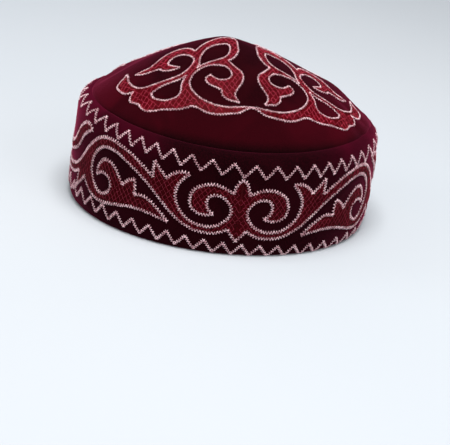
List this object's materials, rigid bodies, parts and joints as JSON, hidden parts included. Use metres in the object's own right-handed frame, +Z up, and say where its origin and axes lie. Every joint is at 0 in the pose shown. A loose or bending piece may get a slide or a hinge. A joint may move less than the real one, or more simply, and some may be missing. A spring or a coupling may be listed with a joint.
{
  "type": "tubeteika skullcap",
  "caption": "Velvet skullcap with an oval, round-shouldered side band and a soft domed crown, embroidered all round with scrolls and zigzag borders.",
  "frame": {"origin": "middle of the oval rim, on the surface that the cap rests on", "axes": "+Z up through the crown, +Y towards the back of the head, the cap's long way, and +X towards the wearer's left"},
  "size_m": [0.1706, 0.2022, 0.1134],
  "materials": {
    "velvet": "deep wine-red velvet with a short dense pile, dark seen face on and redder at a grazing angle",
    "outline_thread": "pale pink lustrous embroidery thread in narrow zigzag satin stitch",
    "fill_thread": "bright red lustrous embroidery thread in a loose filling"
  },
  "bodies": {
    "root": {"side_band": "velvet", "crown": "velvet"}
  },
  "joints": []
}
